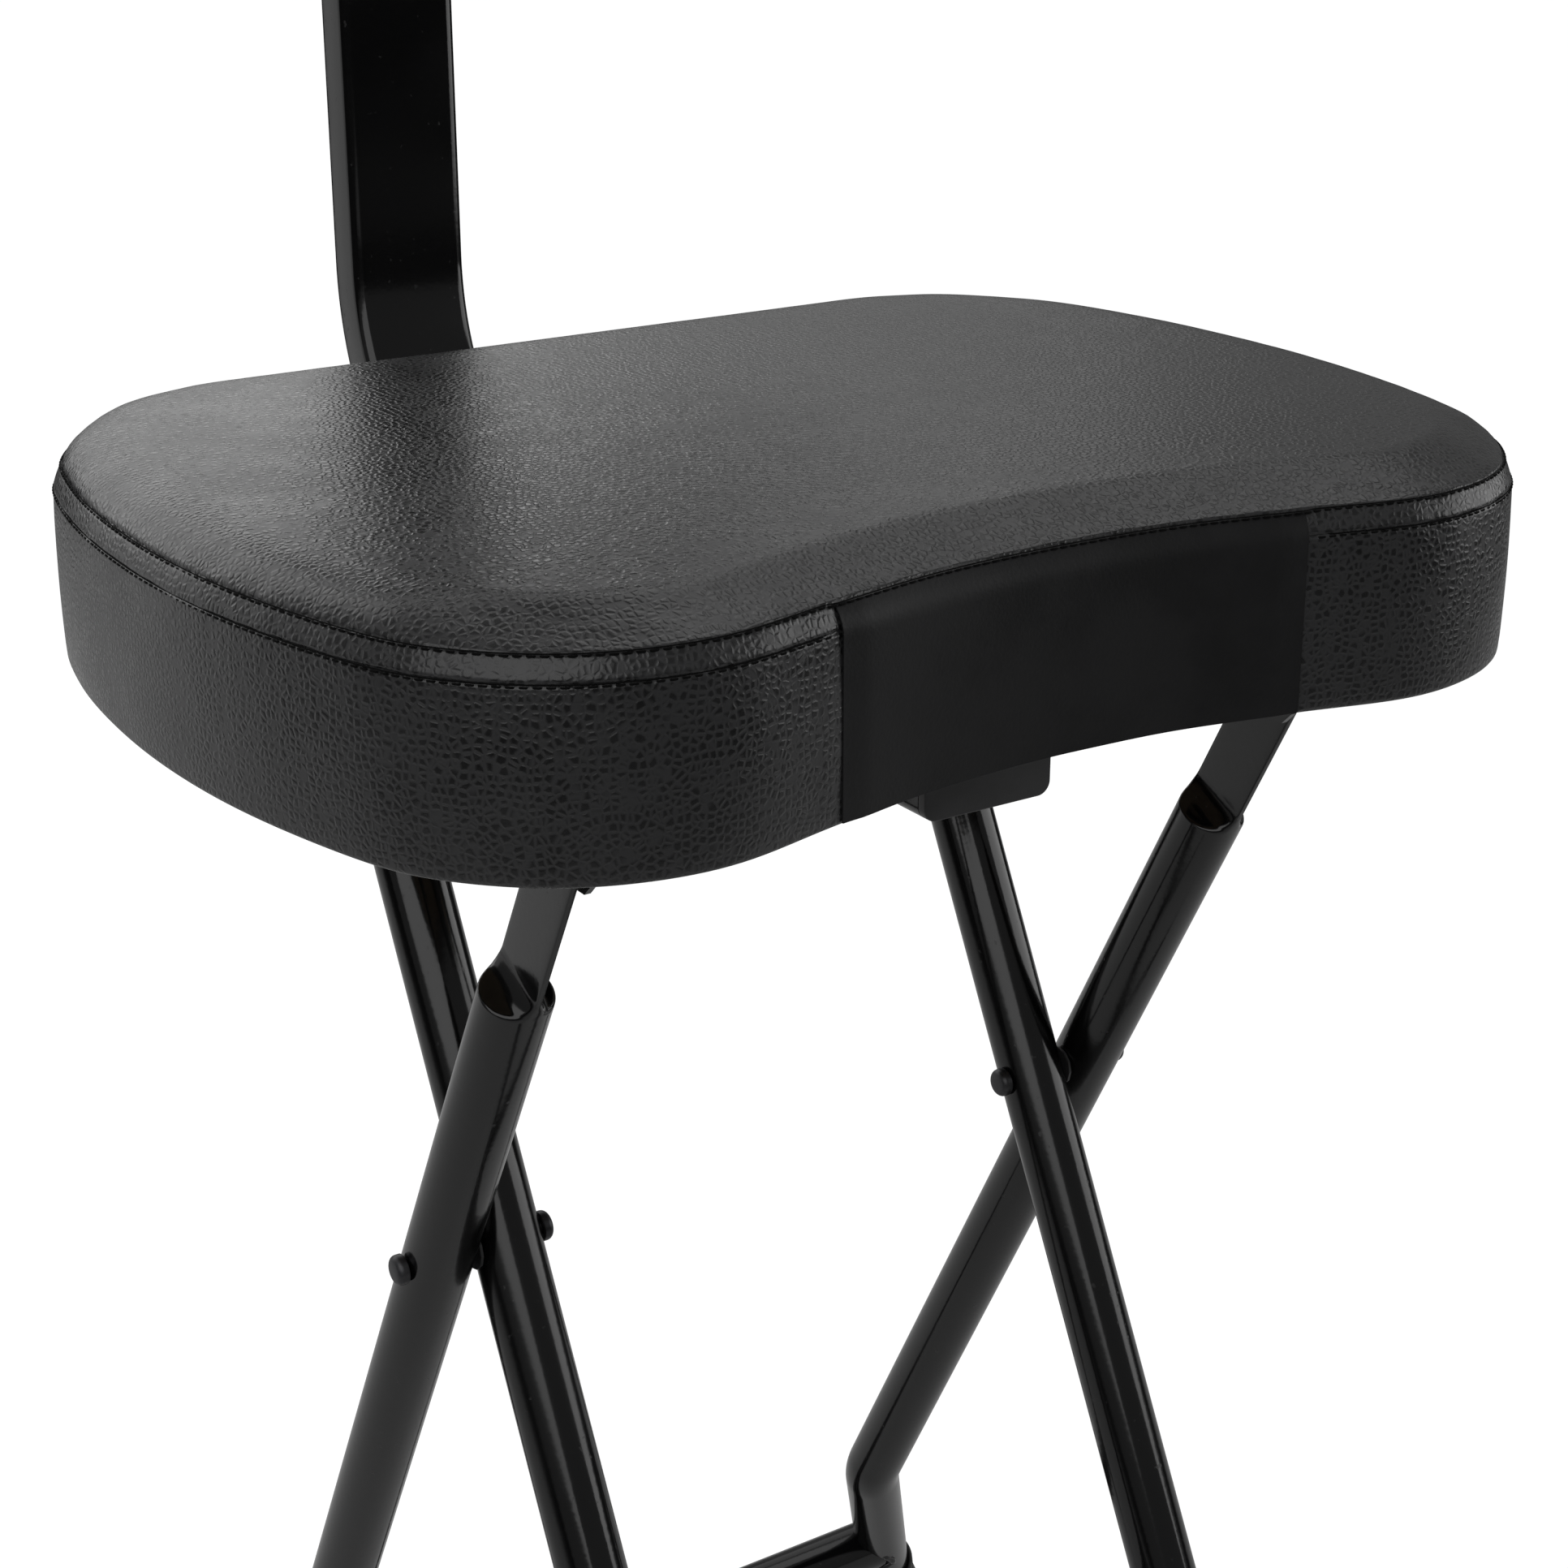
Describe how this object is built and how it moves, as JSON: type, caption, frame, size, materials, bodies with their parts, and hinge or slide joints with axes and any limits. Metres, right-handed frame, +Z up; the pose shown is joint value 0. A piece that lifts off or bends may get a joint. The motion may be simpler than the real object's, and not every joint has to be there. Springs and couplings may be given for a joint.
{
  "type": "folding guitar stool",
  "caption": "Folding guitar stool with crossed tube legs, a padded kidney-shaped seat and a sliding bar that carries a padded backrest.",
  "frame": {"origin": "on the floor, under the middle of the bounding box of the whole stool", "axes": "+Z up, the front of the seat faces -Y, +X is to the right for a person who looks along +Y"},
  "size_m": [0.4098, 0.4763, 0.9118],
  "materials": {
    "gloss_black": "gloss black powder coat",
    "rubber": "matt",
    "black_plastic": "satin",
    "dark_steel": "blackened",
    "grained_leatherette": "pebble grain, satin",
    "smooth_leatherette": "smooth, satin",
    "plywood": "plain",
    "foam": "open-cell foam"
  },
  "bodies": {
    "outer_frame": {"outer_leg_left": "gloss_black", "outer_leg_right": "gloss_black", "rear_brace": "gloss_black", "rear_foot_left": "rubber", "rear_foot_right": "rubber", "leg_rivet_left": "dark_steel", "leg_rivet_right": "dark_steel", "leg_washer_left": "black_plastic", "leg_washer_right": "black_plastic"},
    "inner_frame": {"inner_leg_left": "gloss_black", "inner_leg_right": "gloss_black", "inner_top_bar": "gloss_black", "footrest_bar": "gloss_black", "inner_leg_plug_left": "black_plastic", "inner_leg_plug_right": "black_plastic", "front_foot_left": "rubber", "front_foot_right": "rubber"},
    "seat": {"seat_cover": "grained_leatherette", "seat_foam": "foam", "seat_board": "plywood", "seat_front_panel": "smooth_leatherette", "hinge_bracket_left": "gloss_black", "hinge_bracket_right": "gloss_black", "pivot_bolt_left": "dark_steel", "pivot_bolt_right": "dark_steel", "pivot_nut_left": "dark_steel", "pivot_nut_right": "dark_steel", "pivot_washer_left": "black_plastic", "pivot_washer_right": "black_plastic", "bar_saddle_left": "black_plastic", "bar_saddle_right": "black_plastic", "bar_sleeve_front": "gloss_black", "bar_sleeve_rear": "gloss_black", "bracket_screw_left_front": "dark_steel", "bracket_screw_left_rear": "dark_steel", "bracket_screw_right_front": "dark_steel", "bracket_screw_right_rear": "dark_steel", "saddle_screw_left_front": "dark_steel", "saddle_screw_left_rear": "dark_steel", "saddle_screw_right_front": "dark_steel", "saddle_screw_right_rear": "dark_steel", "sleeve_screw_left_front": "dark_steel", "sleeve_screw_left_rear": "dark_steel", "sleeve_screw_right_front": "dark_steel", "sleeve_screw_right_rear": "dark_steel"},
    "backrest": {"back_bar": "gloss_black", "bar_cap_front": "black_plastic", "bar_cap_top": "black_plastic", "back_board": "plywood", "back_foam": "foam", "back_cover": "grained_leatherette", "back_screw_lower": "dark_steel", "back_screw_upper": "dark_steel"},
    "clamp_knob": {"clamp_knob": "black_plastic"}
  },
  "joints": [
    {"name": "leg_fold", "type": "hinge", "parent": "outer_frame", "child": "inner_frame", "pos_m": [0, -0.03035, 0.367], "axis": [1, 0, 0], "range_deg": [0, 50]},
    {"name": "seat_tilt", "type": "hinge", "parent": "outer_frame", "child": "seat", "pos_m": [0, -0.11668, 0.5325], "axis": [1, 0, 0], "range_deg": [0, 117]},
    {"name": "bar_slide", "type": "slide", "parent": "seat", "child": "backrest", "axis": [0, 1, 0], "range_m": [0, 0.05]},
    {"name": "knob_turn", "type": "hinge", "parent": "seat", "child": "clamp_knob", "pos_m": [0, 0.07665, 0.5207], "axis": [0, 0, 1], "range_deg": [-360, 0]}
  ],
  "couplings": [
    {"joint": "seat_tilt", "follows": "leg_fold", "ratio": 2.34}
  ]
}
